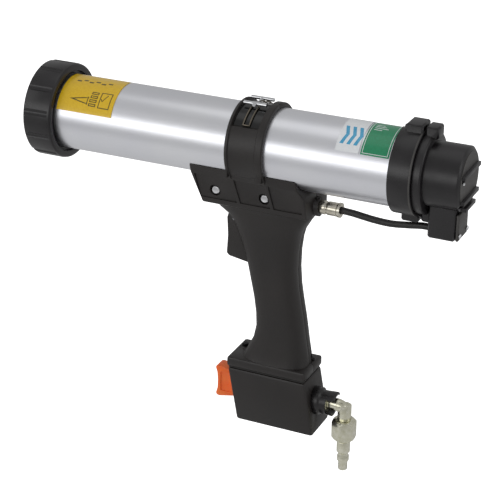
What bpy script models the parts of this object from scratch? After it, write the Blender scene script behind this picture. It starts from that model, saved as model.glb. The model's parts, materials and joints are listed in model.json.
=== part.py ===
"""Air-powered caulking gun.

Metres, +Z up. The origin is the centre of the pistol grip. The barrel axis runs along X, with the
muzzle at -X and the air end at +X. The gun's left side faces -Y.
"""
import bmesh
import bpy
import numpy as np
from math import asin, cos, pi, radians, sin
from mathutils import Matrix, Vector

# ---- Driving dimensions -------------------------------------------------------------------------
GAP = 0.0003                  # between pieces that touch
RUNNING = 0.0005              # round a piece that turns or slides

BARREL_RADIUS = 0.0285
BARREL_WALL = 0.0020
BARREL_LENGTH = 0.2990
MUZZLE_REACH = 0.1750         # barrel's front end to the collar's centre

COLLAR_WIDTH = 0.0295
COLLAR_BAND = 0.0022          # thickness of the band
COLLAR_RIM = 0.0013           # how far its rims stand above the band
FRONT_RIM_WIDTH = 0.0022
REAR_RIM_WIDTH = 0.0052
CLAMP_WINDOW_ANGLE = 37.0     # degrees above the horizontal where the clamp recess starts
WIRE_RADIUS = 0.0007
WIRE_SPACING = 0.0050
TRUNNION_RADIUS = 0.0014
TRUNNION_LENGTH = 0.0180
TRUNNION_OFFSET = 0.0065      # trunnion's distance from the gun's middle plane

COLLAR_X = -0.0158
LEDGE_Z = 0.0640              # underside of the saddle block
SADDLE_FLOOR = 0.0175         # ledge to the underside of the barrel
SADDLE_FRONT = 0.0382         # reach in front of the collar's centre at the ledge
SADDLE_REAR = 0.0458
SADDLE_LEAN = 0.0085          # extra reach of the top flange over the ledge
SADDLE_HALF_WIDTH = 0.0195    # at the ledge
SADDLE_TOP_HALF_WIDTH = 0.0245
PANEL_DEPTH = 0.0012
LEDGE_HEIGHT = 0.0045
SHELL_WALL = 0.0026
SHELL_SCREW_RADIUS = 0.0020
SHELL_SCREW_HEAD = 0.0039
SHELL_SCREW_DROP = 0.0062     # barrel's underside to the screw's axis

FOOT_Z = -0.0625              # top of the grip's foot flange
FOOT_THICKNESS = 0.0078
FOOT_FRONT = -0.0349
FOOT_REAR = 0.0306
FOOT_HALF_WIDTH = 0.0175

TRIGGER_HALF_WIDTH = 0.0100
TRIGGER_WALL = 0.0024
TRIGGER_LENGTH = 0.0362
TRIGGER_FRONT = -0.0384
TRIGGER_PIVOT = (-0.0310, 0.0520)
PIN_RADIUS = 0.0015
PIN_REACH = 0.0124            # half the pin's length, short of the grip's outer skin

VALVE_Z = 0.0380
VALVE_FRONT = -0.0175
VALVE_LENGTH = 0.0275
VALVE_HEIGHT = 0.0160
VALVE_WIDTH = 0.0140
SPOOL_RADIUS = 0.0030
STEM_RADIUS = 0.0018
SPRING_WIRE = 0.0003
SPRING_COILS = 3              # few enough to close by the spool's stroke
TUBE_RADIUS = 0.0022

BASE_SCREW_RADIUS = 0.0015
BASE_SCREW_HEAD = 0.0026
BASE_SCREW_Y = 0.0065
BASE_SCREW_POCKET = 0.0050    # height of the room over a screw's seat
HOUSING_HEIGHT = 0.0441
HOUSING_LEAN = 0.0078         # how far the housing leans back from top to bottom
HOUSING_INSET = 0.0006
HOUSING_WALL = 0.0025
GASKET = 0.0008
INLET_DROP = 0.0222           # seam to the inlet's axis
MANIFOLD_LENGTH = 0.0365
MANIFOLD_INSET = 0.0150       # housing's front face to the manifold, at the inlet's height
MANIFOLD_SIZE = 0.0200
KNOB_LENGTH = 0.0165
KNOB_HEIGHT = 0.0270
KNOB_THICKNESS = 0.0110
NEEDLE_RADIUS = 0.0020
GLAND_COLLAR = 0.0012         # gland's rim between the housing and the knob

SOCKET_RADIUS = 0.0098
SOCKET_LENGTH = 0.0172        # housing's rear face to the upper jaw's end
SOCKET_JAW_STEP = 0.0025      # how much shorter the lower jaw is
SWIVEL_STEM_RADIUS = 0.0042
ELBOW_RADIUS = 0.0050
ELBOW_REACH = 0.0235          # housing's rear face to the plug's axis
NUT_ACROSS_FLATS = 0.0170
NUT_HEIGHT = 0.0180
PLUG_RADIUS = 0.0053
PLUG_LENGTH = 0.0260

CAP_WALL = 0.0080             # how far the front cap stands over the barrel
CAP_LENGTH = 0.0234
CAP_LIP = 0.0030
CAP_LEDGE = 0.0045            # barrel's bore in to the cap's opening
CAP_LOBES = 12
WASHER_THICKNESS = 0.0026

RING_WALL = 0.0035
RING_WIDTH = 0.0171
RING_OVERHANG = 0.0141        # how far the ring reaches forward over the barrel
LUG_RISE = 0.0080             # lugs' tops over the barrel
LUG_HALF_WIDTH = 0.0085
FLANGE_RISE = 0.0015
FLANGE_WIDTH = 0.0060
SPIGOT_LENGTH = 0.0100
END_CAP_STEP = 0.0030         # barrel's bore in to the rear cap's side
END_CAP_LENGTH = 0.0260
END_BARS = (0.0065, -0.0125, -0.0195)
END_FOOT_HALF_WIDTH = 0.0110
END_FOOT_LENGTH = 0.0204
END_FOOT_DROP = 0.0165        # barrel's underside to the foot's underside
FOOT_COVER = 0.0022

HOSE_RADIUS = 0.0027
HOSE_Z_DROP = 0.0128          # barrel's underside to the hose fitting's axis
HOSE_END_Y = -0.0030
HOSE_END_DROP = 0.0115        # barrel's underside to the hose's axis at the rear cap
HOSE_SAG = 0.0030
FITTING_RADIUS = 0.0052
FITTING_LENGTH = 0.0135

PISTON_LENGTH = 0.0220
PISTON_START = 0.0020         # piston's tail to the spigot

WARNING_LABEL = (0.0010, 0.0470, 21.0, 100.0)    # from the cap, length, start and end angle
BADGE_LABEL = (0.0240, 0.0180, 31.0, 104.0)      # from the ring, length, angles
DATA_LABEL = (0.0015, 0.0215, 31.0, 101.0)
LABEL_THICKNESS = 0.00025

ROUND = 48                    # sides of the barrel and what fits round it
INNER_ROUND = 36              # sides of what fits inside it

# ---- Derived places -----------------------------------------------------------------------------
AXIS_Z = LEDGE_Z + SADDLE_FLOOR + BARREL_RADIUS
BARREL_FRONT = COLLAR_X - MUZZLE_REACH
BARREL_REAR = BARREL_FRONT + BARREL_LENGTH
BORE_RADIUS = BARREL_RADIUS - BARREL_WALL
CAP_RADIUS = BARREL_RADIUS + CAP_WALL
CAP_BORE = BORE_RADIUS - CAP_LEDGE
RING_RADIUS = BARREL_RADIUS + RING_WALL
LUG_RADIUS = BARREL_RADIUS + LUG_RISE
FLANGE_RADIUS = BARREL_RADIUS + FLANGE_RISE
END_CAP_RADIUS = BORE_RADIUS - END_CAP_STEP
COLLAR_INNER = BARREL_RADIUS + GAP
BAND_RADIUS = COLLAR_INNER + COLLAR_BAND
RIM_RADIUS = BAND_RADIUS + COLLAR_RIM
COLLAR_FRONT = COLLAR_X - COLLAR_WIDTH / 2
COLLAR_REAR = COLLAR_X + COLLAR_WIDTH / 2
WINDOW_FLOOR = COLLAR_INNER + 0.0008
CLAMP_X = COLLAR_FRONT + FRONT_RIM_WIDTH + (COLLAR_WIDTH - FRONT_RIM_WIDTH - REAR_RIM_WIDTH) / 2

SADDLE_TOP_Z = AXIS_Z - 0.0150
SHELL_SCREW_Z = AXIS_Z - BARREL_RADIUS - SHELL_SCREW_DROP
SHELL_SCREWS = {"front": COLLAR_X - 0.0272, "rear": COLLAR_X + 0.0123}

SEAM_Z = FOOT_Z - FOOT_THICKNESS
HOUSING_TOP = SEAM_Z - GAP - GASKET - GAP
HOUSING_BOTTOM = HOUSING_TOP - HOUSING_HEIGHT
INLET_Z = SEAM_Z - INLET_DROP
MID_LEAN = HOUSING_LEAN * (HOUSING_TOP - INLET_Z) / HOUSING_HEIGHT
HOUSING_FRONT = FOOT_FRONT + HOUSING_INSET + MID_LEAN       # at the inlet's height
HOUSING_REAR = FOOT_REAR - HOUSING_INSET + MID_LEAN
PLUG_X = HOUSING_REAR + ELBOW_REACH

CAP_REAR = BARREL_FRONT + CAP_LENGTH - CAP_LIP - WASHER_THICKNESS - 2 * GAP
CAP_FRONT = CAP_REAR - CAP_LENGTH
RING_FRONT = BARREL_REAR - RING_OVERHANG
RING_REAR = RING_FRONT + RING_WIDTH
FLANGE_FRONT = RING_REAR + GAP
FLANGE_REAR = FLANGE_FRONT + FLANGE_WIDTH
END_FACE = FLANGE_REAR + END_CAP_LENGTH
END_FOOT_FRONT = FLANGE_REAR + 0.0010
END_FOOT_REAR = END_FOOT_FRONT + END_FOOT_LENGTH
HOSE_Z = AXIS_Z - BARREL_RADIUS - HOSE_Z_DROP
HOSE_END_Z = AXIS_Z - BARREL_RADIUS - HOSE_END_DROP
BOSS_REAR = COLLAR_X + SADDLE_REAR + 0.0030
PISTON_REAR = FLANGE_FRONT - SPIGOT_LENGTH - PISTON_START

# ---- Scene and helpers --------------------------------------------------------------------------
for old in list(bpy.data.objects):
    bpy.data.objects.remove(old)

PARTS = bpy.data.collections.new("caulking_gun")
CUTTERS = bpy.data.collections.new("cutters")
for group in (PARTS, CUTTERS):
    bpy.context.scene.collection.children.link(group)

MATERIALS = {}
FINISHES = {
    "black_nylon": ((0.035, 0.034, 0.036), 0.45, 0.0),
    "grip_nylon": ((0.050, 0.048, 0.048), 0.55, 0.0),
    "black_rubber": ((0.020, 0.020, 0.020), 0.70, 0.0),
    "anodised_aluminium": ((0.62, 0.63, 0.65), 0.35, 1.0),
    "zinc_steel": ((0.66, 0.65, 0.60), 0.35, 1.0),
    "chrome": ((0.80, 0.80, 0.82), 0.12, 1.0),
    "nickel": ((0.62, 0.58, 0.50), 0.25, 1.0),
    "brass": ((0.72, 0.52, 0.22), 0.35, 1.0),
    "spring_steel": ((0.55, 0.55, 0.56), 0.30, 1.0),
    "black_steel": ((0.06, 0.06, 0.06), 0.40, 1.0),
    "orange_plastic": ((0.86, 0.18, 0.02), 0.40, 0.0),
    "white_acetal": ((0.80, 0.80, 0.78), 0.45, 0.0),
    "yellow_label": ((0.82, 0.62, 0.08), 0.40, 0.0),
    "white_label": ((0.85, 0.87, 0.90), 0.40, 0.0),
    "green_label": ((0.03, 0.36, 0.20), 0.40, 0.0),
}


def material(slot):
    """The named finish, as a Principled BSDF material made once."""
    if slot not in MATERIALS:
        colour, roughness, metallic = FINISHES[slot]
        made = bpy.data.materials.new(slot)
        made.use_nodes = True
        shader = made.node_tree.nodes["Principled BSDF"]
        shader.inputs["Base Color"].default_value = (*colour, 1.0)
        shader.inputs["Roughness"].default_value = roughness
        shader.inputs["Metallic"].default_value = metallic
        MATERIALS[slot] = made
    return MATERIALS[slot]


def put(name, data, slot=None, place=(0, 0, 0), turn=(0, 0, 0)):
    """An object in the parts collection, or a hidden cutter where no finish is given."""
    obj = bpy.data.objects.new(name, data)
    obj.location = place
    obj.rotation_euler = turn
    if slot:
        PARTS.objects.link(obj)
        data.materials.append(material(slot))
    else:
        CUTTERS.objects.link(obj)
        obj.hide_render = True
        obj.display_type = "WIRE"
    return obj


def boolean(obj, tool, operation="DIFFERENCE"):
    step = obj.modifiers.new(operation.lower(), "BOOLEAN")
    step.operation = operation
    step.object = tool
    step.solver = "EXACT"
    tidy = obj.modifiers.new("weld", "WELD")
    tidy.merge_threshold = 0.000004
    return obj


def cut(obj, *tools):
    for tool in tools:
        boolean(obj, tool)
    return obj


def join(obj, *tools):
    for tool in tools:
        boolean(obj, tool, "UNION")
    return obj


def rounded(obj, width, segments=2, angle=30):
    step = obj.modifiers.new("edges", "BEVEL")
    step.width = width
    step.segments = segments
    step.limit_method = "ANGLE"
    step.angle_limit = radians(angle)
    return obj


def mesh_from(name, bm):
    bmesh.ops.recalc_face_normals(bm, faces=bm.faces)
    data = bpy.data.meshes.new(name)
    bm.to_mesh(data)
    bm.free()
    return data


def box(name, low, high, slot=None, origin=(0, 0, 0)):
    """A box between two corners, stored about the given origin."""
    bm = bmesh.new()
    bmesh.ops.create_cube(bm, size=1.0)
    low, high = Vector(low), Vector(high)
    size = high - low
    frame = Matrix.Translation((low + high) / 2 - Vector(origin)) @ Matrix.Diagonal((*size, 1))
    bmesh.ops.transform(bm, matrix=frame, verts=bm.verts)
    return put(name, mesh_from(name, bm), slot, origin)


TURNS = {
    "+X": (0, pi / 2, 0),
    "-X": (0, -pi / 2, 0),
    "+Y": (-pi / 2, 0, 0),
    "-Y": (pi / 2, 0, 0),
    "+Z": (0, 0, 0),
    "-Z": (pi, 0, 0),
}


def rod(name, base, direction, radius, length, slot=None, sides=24):
    """A cylinder that starts at base and runs along direction."""
    bm = bmesh.new()
    bmesh.ops.create_cone(bm, cap_ends=True, segments=sides, radius1=radius, radius2=radius, depth=length)
    bmesh.ops.translate(bm, vec=(0, 0, length / 2), verts=bm.verts)
    obj = put(name, mesh_from(name, bm), slot, base, TURNS[direction])
    if slot:
        smooth(obj)
    return obj


def smooth(obj, angle=35):
    obj.data.shade_smooth()
    obj.data.set_sharp_from_angle(angle=radians(angle))
    return obj


def turned(name, base, direction, profile, slot=None, steps=32, closed=False):
    """A solid of revolution: (radius, height) pairs that run down its outer side.

    A closed profile goes back up its inner side to where it began, as in a ring or a sleeve.
    """
    bm = bmesh.new()
    corners = [bm.verts.new((radius, 0, height)) for radius, height in profile]
    for first, second in zip(corners, corners[1:]):
        bm.edges.new((first, second))
    if closed:
        bm.edges.new((corners[-1], corners[0]))
    data = bpy.data.meshes.new(name)
    bm.to_mesh(data)
    bm.free()
    obj = put(name, data, slot, base, TURNS[direction])
    screw = obj.modifiers.new("turn", "SCREW")
    screw.axis = "Z"
    screw.angle = 2 * pi
    screw.steps = steps
    screw.render_steps = steps
    screw.use_merge_vertices = True
    screw.merge_threshold = 0.00002
    screw.use_smooth_shade = True
    return obj


def sleeve(name, base, direction, outer, inner, length, slot=None, steps=32):
    profile = [(outer, length), (outer, 0), (inner, 0), (inner, length)]
    return turned(name, base, direction, profile, slot, steps, closed=True)


def o_ring(name, centre, direction, radius, thickness, slot="black_rubber", steps=36, sides=6):
    """A ring of round section whose mean radius is given."""
    angles = [-2 * pi * step / sides for step in range(sides)]
    profile = [(radius + thickness * cos(a), thickness * sin(a)) for a in angles]
    return turned(name, centre, direction, profile, slot, steps, closed=True)


def plate(name, outline, thickness, slot=None, origin=(0, 0)):
    """A flat outline in XZ, centred on Y = 0, with its object's origin at the given X and Z."""
    curve = bpy.data.curves.new(name, "CURVE")
    curve.dimensions = "2D"
    curve.fill_mode = "BOTH"
    curve.extrude = thickness / 2
    spline = curve.splines.new("POLY")
    spline.points.add(len(outline) - 1)
    for point, (x, z) in zip(spline.points, outline):
        point.co = (x - origin[0], z - origin[1], 0, 1)
    spline.use_cyclic_u = True
    return as_mesh(put(name, curve, None, (origin[0], 0, origin[1]), (pi / 2, 0, 0)), slot)


def tube(name, points, radius, slot=None, resolution=2):
    """A round tube with filled caps along hand-placed points, read from a smooth curve."""
    curve = bpy.data.curves.new(name, "CURVE")
    curve.dimensions = "3D"
    curve.bevel_depth = radius
    curve.bevel_resolution = resolution
    curve.use_fill_caps = True
    spline = curve.splines.new("POLY")
    spline.points.add(len(points) - 1)
    for point, place in zip(spline.points, points):
        point.co = (*place, 1)
    return as_mesh(put(name, curve), slot)


def as_mesh(curve_obj, slot):
    """The curve object as a welded mesh of the same name."""
    bpy.context.view_layer.update()
    data = bpy.data.meshes.new_from_object(curve_obj.evaluated_get(bpy.context.evaluated_depsgraph_get()))
    bm = bmesh.new()
    bm.from_mesh(data)
    bmesh.ops.remove_doubles(bm, verts=bm.verts, dist=0.00001)
    bmesh.ops.recalc_face_normals(bm, faces=bm.faces)
    bm.to_mesh(data)
    bm.free()
    name, frame = curve_obj.name, curve_obj.matrix_world.copy()
    bpy.data.objects.remove(curve_obj)
    data.materials.clear()
    obj = put(name, data, slot)
    obj.matrix_world = frame
    return obj


def smooth_path(points, spacing):
    """Points at an even spacing on the Catmull-Rom curve through the given points."""
    knots = [Vector(point) for point in points]
    knots = [2 * knots[0] - knots[1]] + knots + [2 * knots[-1] - knots[-2]]
    path = [knots[1]]
    for before, start, end, after in zip(knots, knots[1:], knots[2:], knots[3:]):
        count = max(1, round((end - start).length / spacing))
        for step in range(1, count + 1):
            t = step / count
            path.append(0.5 * (2 * start + (end - before) * t
                               + (2 * before - 5 * start + 4 * end - after) * t ** 2
                               + (3 * start - before - 3 * end + after) * t ** 3))
    return path


def loft(name, sections, slot=None, sides=24, power=3.0):
    """A skin through level superellipse sections of (height, front, rear, half width)."""
    bm = bmesh.new()
    rings = []
    for height, front, rear, half_width in sections:
        middle, reach = (front + rear) / 2, (rear - front) / 2
        ring = []
        for step in range(sides):
            angle = 2 * pi * (step + 0.5) / sides
            across = np.sign(cos(angle)) * abs(cos(angle)) ** (2 / power)
            along = np.sign(sin(angle)) * abs(sin(angle)) ** (2 / power)
            ring.append(bm.verts.new((middle + reach * across, half_width * along, height)))
        rings.append(ring)
    for lower, upper in zip(rings, rings[1:]):
        for step in range(sides):
            after = (step + 1) % sides
            bm.faces.new((lower[step], lower[after], upper[after], upper[step]))
    bm.faces.new(rings[0])
    bm.faces.new(rings[-1])
    bmesh.ops.triangulate(bm, faces=bm.faces)
    return put(name, mesh_from(name, bm), slot)


def wedge_box(name, low, high, top_grow, lean=0.0, slot=None):
    """A box whose top face is wider by top_grow each side in Y, and sheared by lean in X."""
    obj = box(name, low, high, slot)
    for vertex in obj.data.vertices:
        if vertex.co.z > (low[2] + high[2]) / 2:
            vertex.co.y += top_grow if vertex.co.y > 0 else -top_grow
            vertex.co.x += lean
    return obj


# ---- Barrel -------------------------------------------------------------------------------------
def barrel():
    sleeve("barrel_tube", (BARREL_FRONT, 0, AXIS_Z), "+X", BARREL_RADIUS, BORE_RADIUS,
           BARREL_LENGTH, "anodised_aluminium", steps=ROUND)
    front_cap()
    piston()
    labels()


def front_cap():
    """Open ring nut with broad grip lobes and an inner lip that the cartridge's shoulder meets."""
    thread = BARREL_RADIUS + GAP
    mouth = thread + 0.0025
    edge = 0.0016
    profile = [
        (mouth + 0.0008, CAP_LENGTH),
        (CAP_RADIUS - edge, CAP_LENGTH),
        (CAP_RADIUS, CAP_LENGTH - edge),
        (CAP_RADIUS, edge),
        (CAP_RADIUS - edge, 0),
        (CAP_BORE, 0),
        (CAP_BORE, CAP_LIP),
        (thread, CAP_LIP),
        (thread, CAP_LENGTH - 0.0032),
        (mouth, CAP_LENGTH - 0.0028),
    ]
    cap = turned("front_cap", (CAP_FRONT, 0, AXIS_Z), "+X", profile, "black_nylon", ROUND, closed=True)
    groove_radius = 0.0016
    for lobe in range(CAP_LOBES):
        angle = 2 * pi * (lobe + 0.58) / CAP_LOBES
        reach = CAP_RADIUS + groove_radius * 0.45
        place = (CAP_FRONT - 0.001, reach * cos(angle), AXIS_Z + reach * sin(angle))
        cut(cap, rod("cap_groove_%d" % lobe, place, "+X", groove_radius, CAP_LENGTH + 0.002, sides=8))
    washer_x = CAP_FRONT + CAP_LIP + GAP
    sleeve("cap_washer", (washer_x, 0, AXIS_Z), "+X", BARREL_RADIUS - 0.0002, CAP_BORE + 0.0006,
           WASHER_THICKNESS, "white_acetal", steps=ROUND)


def piston():
    """Pusher that the air drives forward: a cupped disc with two seals, a washer and a bolt."""
    front = PISTON_REAR - PISTON_LENGTH
    body_radius = BORE_RADIUS - 0.0006
    groove_width = 0.0030
    groove_floor = body_radius - 0.0026
    first, second = 0.0045, 0.0145
    hole = 0.0030
    profile = [
        (body_radius - 0.001, PISTON_LENGTH), (body_radius, PISTON_LENGTH - 0.001),
        (body_radius, second + groove_width), (groove_floor, second + groove_width),
        (groove_floor, second), (body_radius, second),
        (body_radius, first + groove_width), (groove_floor, first + groove_width),
        (groove_floor, first), (body_radius, first),
        (body_radius, 0.001), (body_radius - 0.001, 0),
        (0.0190, 0), (0.0150, 0.0050), (hole, 0.0050),
        (hole, 0.0140), (0.0130, 0.0140), (0.0170, PISTON_LENGTH),
    ]
    base = (front, 0, AXIS_Z)
    turned("piston", base, "+X", profile, "black_nylon", INNER_ROUND, closed=True)
    seal_thickness = groove_width / 2 - 0.00015
    seal_radius = BORE_RADIUS - 0.0001 - seal_thickness
    for label, start in (("front", first), ("rear", second)):
        centre = (front + start + groove_width / 2, 0, AXIS_Z)
        o_ring("piston_seal_" + label, centre, "+X", seal_radius, seal_thickness)
    washer_x = front + 0.0140 + GAP
    sleeve("piston_washer", (washer_x, 0, AXIS_Z), "+X", 0.0095, hole + 0.0002, 0.0015, "zinc_steel", 24)
    shank = hole - GAP
    bolt = [(0, 0.0220), (shank, 0.0220), (shank, 0.0050 - GAP), (0.0062, 0.0050 - GAP),
            (0.0062, 0.0015), (0, 0.0015)]
    turned("piston_bolt", base, "+X", bolt, "zinc_steel", 24)
    nut_x = washer_x + 0.0015 + GAP
    nut = rod("piston_nut", (nut_x, 0, AXIS_Z), "+X", 0.0058, 0.0040, "zinc_steel", sides=6)
    cut(nut, rod("nut_bore", (nut_x - 0.001, 0, AXIS_Z), "+X", hole + 0.0001, 0.007))


def labels():
    skin = BARREL_RADIUS + 0.00015

    def label(name, front, length, low, high, slot):
        """A thin skin wrapped round the barrel between two angles above the left horizontal."""
        bm = bmesh.new()
        count = max(8, round((high - low) / 5))
        angles = [radians(low + (high - low) * step / count) for step in range(count + 1)]
        inner = [bm.verts.new((front, -skin * cos(a), AXIS_Z + skin * sin(a))) for a in angles]
        outer_radius = skin + LABEL_THICKNESS
        outer = [bm.verts.new((front, -outer_radius * cos(a), AXIS_Z + outer_radius * sin(a)))
                 for a in angles]
        section = bm.faces.new(inner + outer[::-1])
        grown = bmesh.ops.extrude_face_region(bm, geom=[section])
        moved = [item for item in grown["geom"] if isinstance(item, bmesh.types.BMVert)]
        bmesh.ops.translate(bm, vec=(length, 0, 0), verts=moved)
        put(name, mesh_from(name, bm), slot)

    start, length, low, high = WARNING_LABEL
    label("label_loading", CAP_REAR + start, length, low, high, "yellow_label")
    start, length, low, high = BADGE_LABEL
    label("label_badge", RING_FRONT - start - length, length, low, high, "white_label")
    start, length, low, high = DATA_LABEL
    label("label_data", RING_FRONT - start - length, length, low, high, "green_label")


# ---- Rear end -----------------------------------------------------------------------------------
def lug(name, front, rear, outer, half_width, side):
    """A block across the barrel's top or bottom that a cap screw passes through."""
    low_z, high_z = sorted((AXIS_Z + side * (BARREL_RADIUS - 0.0015), AXIS_Z + side * outer))
    return rounded(box(name, (front, -half_width, low_z), (rear, half_width, high_z)), 0.0012, 1)


def rear_end():
    ring = sleeve("rear_ring", (RING_FRONT, 0, AXIS_Z), "+X", RING_RADIUS, BARREL_RADIUS + GAP,
                  RING_WIDTH, "black_nylon", steps=ROUND)
    ring_bore = rod("ring_bore", (RING_FRONT - 0.01, 0, AXIS_Z), "+X", BARREL_RADIUS + GAP,
                    RING_WIDTH + 0.02, sides=ROUND)
    cap = end_cap()
    screw_radius, head_radius, head_length = 0.0015, 0.0024, 0.0026
    screw_height = LUG_RADIUS - head_radius - 0.0008
    cap_lug_rear = FLANGE_REAR + 0.0040
    seat = RING_FRONT + 0.0080
    for label, side in (("top", 1), ("bottom", -1)):
        join(ring, lug("ring_lug_" + label, RING_FRONT + 0.0036, RING_REAR - 0.0004, LUG_RADIUS,
                       LUG_HALF_WIDTH, side))
        join(cap, lug("cap_lug_" + label, FLANGE_FRONT + 0.0004, cap_lug_rear, LUG_RADIUS - 0.0008,
                      LUG_HALF_WIDTH - 0.0020, side))
    for label, side in (("top", 1), ("bottom", -1)):
        axis_z = AXIS_Z + side * screw_height
        hole = rod("cap_screw_hole_" + label, (seat - 0.001, 0, axis_z), "+X", screw_radius + GAP, 0.019,
                   sides=12)
        cut(ring, hole, rod("cap_head_hole_" + label, (RING_FRONT - 0.01, 0, axis_z), "+X",
                            head_radius + GAP, seat + 0.01 - RING_FRONT, sides=16))
        cut(cap, hole)
        start = seat - GAP - head_length
        bolt = [(0, 0.0195), (screw_radius, 0.0195), (screw_radius, head_length), (head_radius, head_length),
                (head_radius, 0), (0, 0)]
        turned("cap_screw_" + label, (start, 0, axis_z), "+X", bolt, "black_steel", 16)
    cut(ring, ring_bore)


def end_cap():
    """Closed cap whose spigot seals in the barrel and whose foot takes the air hose."""
    spigot_radius = BORE_RADIUS - GAP
    seal_thickness = 0.0013
    groove = seal_thickness + 0.00015
    seal_x = FLANGE_FRONT - SPIGOT_LENGTH / 2
    start = FLANGE_FRONT - SPIGOT_LENGTH
    length = END_FACE - start
    mid = seal_x - start
    flange, rear = SPIGOT_LENGTH, SPIGOT_LENGTH + FLANGE_WIDTH
    chamber_radius = BORE_RADIUS - 0.0075
    floor_radius = spigot_radius - 2 * groove
    profile = [
        (0, length),
        (END_CAP_RADIUS - 0.0022, length),
        (END_CAP_RADIUS, length - 0.0018),
        (END_CAP_RADIUS, rear),
        (FLANGE_RADIUS - 0.0010, rear),
        (FLANGE_RADIUS, rear - 0.0010),
        (FLANGE_RADIUS, flange),
        (spigot_radius, flange),
        (spigot_radius, mid + groove),
        (floor_radius, mid + groove),
        (floor_radius, mid - groove),
        (spigot_radius, mid - groove),
        (spigot_radius, 0),
        (chamber_radius, 0),
        (chamber_radius, length - 0.0060),
        (0, length - 0.0060),
    ]
    cap = turned("rear_cap", (start, 0, AXIS_Z), "+X", profile, "black_nylon", INNER_ROUND)
    o_ring("cap_seal", (seal_x, 0, AXIS_Z), "+X", spigot_radius - seal_thickness, seal_thickness)

    foot_low = AXIS_Z - BARREL_RADIUS - END_FOOT_DROP
    foot = box("foot_block", (END_FOOT_FRONT, -END_FOOT_HALF_WIDTH, foot_low),
               (END_FOOT_REAR, END_FOOT_HALF_WIDTH, AXIS_Z - END_CAP_RADIUS + 0.0045))
    join(cap, rounded(foot, 0.0014, 1))
    for index, height in enumerate(END_BARS):
        reach = 0.0175 if height > 0 else 0.0165
        if abs(height) > 0.0150:
            reach = 0.0105
        bar = box("vent_bar_%d" % index, (END_FACE - 0.002, -reach, AXIS_Z + height - 0.0014),
                  (END_FACE + 0.0026, reach, AXIS_Z + height + 0.0014))
        join(cap, bar)
        slot = box("vent_slot_%d" % index, (END_FACE - 0.0030, -reach, AXIS_Z + height - 0.0042),
                   (END_FACE + 0.004, reach, AXIS_Z + height - 0.0018))
        cut(cap, slot)

    hose_in = 0.0080
    cut(cap,
        rod("foot_socket", (END_FOOT_FRONT - 0.002, HOSE_END_Y, HOSE_END_Z), "+X", HOSE_RADIUS + GAP,
            hose_in + 0.002, sides=16),
        rod("foot_riser", (END_FOOT_FRONT + hose_in - 0.0012, HOSE_END_Y, HOSE_END_Z), "+Z", 0.0014, 0.0280,
            sides=12))
    foot_screws(cap, foot_low)
    return cap


def foot_screws(cap, foot_low):
    """Cover plate on the foot's rear face, held by two small screws."""
    cover_top = AXIS_Z - END_CAP_RADIUS - 0.0007
    front = END_FOOT_REAR + GAP
    cover = rounded(box("foot_cover", (front, -END_FOOT_HALF_WIDTH + 0.0006, foot_low + 0.0006),
                        (front + FOOT_COVER, END_FOOT_HALF_WIDTH - 0.0006, cover_top), "grip_nylon"),
                    0.0006, 1)
    for label, side in (("left", -1), ("right", 1)):
        place_y, place_z = side * 0.0082, foot_low + 0.0046
        radius, depth = 0.0010, 0.0070
        hole = rod("foot_hole_" + label, (END_FOOT_REAR - depth, place_y, place_z), "+X", radius + GAP,
                   depth + 0.01, sides=12)
        cut(cap, hole)
        cut(cover, hole)
        start = END_FOOT_REAR - depth + GAP
        head = front + FOOT_COVER + GAP - start
        screw = [(0, head + 0.0010), (0.0013, head + 0.0010), (0.0018, head + 0.0005), (0.0018, head),
                 (radius, head), (radius, 0), (0, 0)]
        turned("foot_screw_" + label, (start, place_y, place_z), "+X", screw, "chrome", 16)


# ---- Handle -------------------------------------------------------------------------------------
# Height, front, rear and half width of the grip, from the saddle's ledge down to the foot.
GRIP_SECTIONS = [
    (LEDGE_Z + 0.0010, COLLAR_X - SADDLE_FRONT + 0.0010, COLLAR_X + SADDLE_REAR - 0.0010, 0.0185),
    (0.0600, -0.0470, 0.0280, 0.0180),
    (0.0550, -0.0392, 0.0247, 0.0173),
    (0.0480, -0.0344, 0.0206, 0.0165),
    (0.0400, -0.0311, 0.0184, 0.0158),
    (0.0290, -0.0271, 0.0169, 0.0153),
    (0.0150, -0.0226, 0.0164, 0.0150),
    (0.0010, -0.0198, 0.0174, 0.0148),
    (-0.0110, -0.0173, 0.0193, 0.0146),
    (-0.0240, -0.0156, 0.0217, 0.0145),
    (-0.0350, -0.0153, 0.0234, 0.0146),
    (-0.0450, -0.0174, 0.0248, 0.0150),
    (-0.0530, -0.0211, 0.0260, 0.0157),
    (FOOT_Z - 0.0010, -0.0266, 0.0277, 0.0168),
]


def saddle_side(height):
    """Half width of the saddle block at a height."""
    share = (height - LEDGE_Z) / (SADDLE_TOP_Z - LEDGE_Z)
    return SADDLE_HALF_WIDTH + share * (SADDLE_TOP_HALF_WIDTH - SADDLE_HALF_WIDTH)


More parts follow.
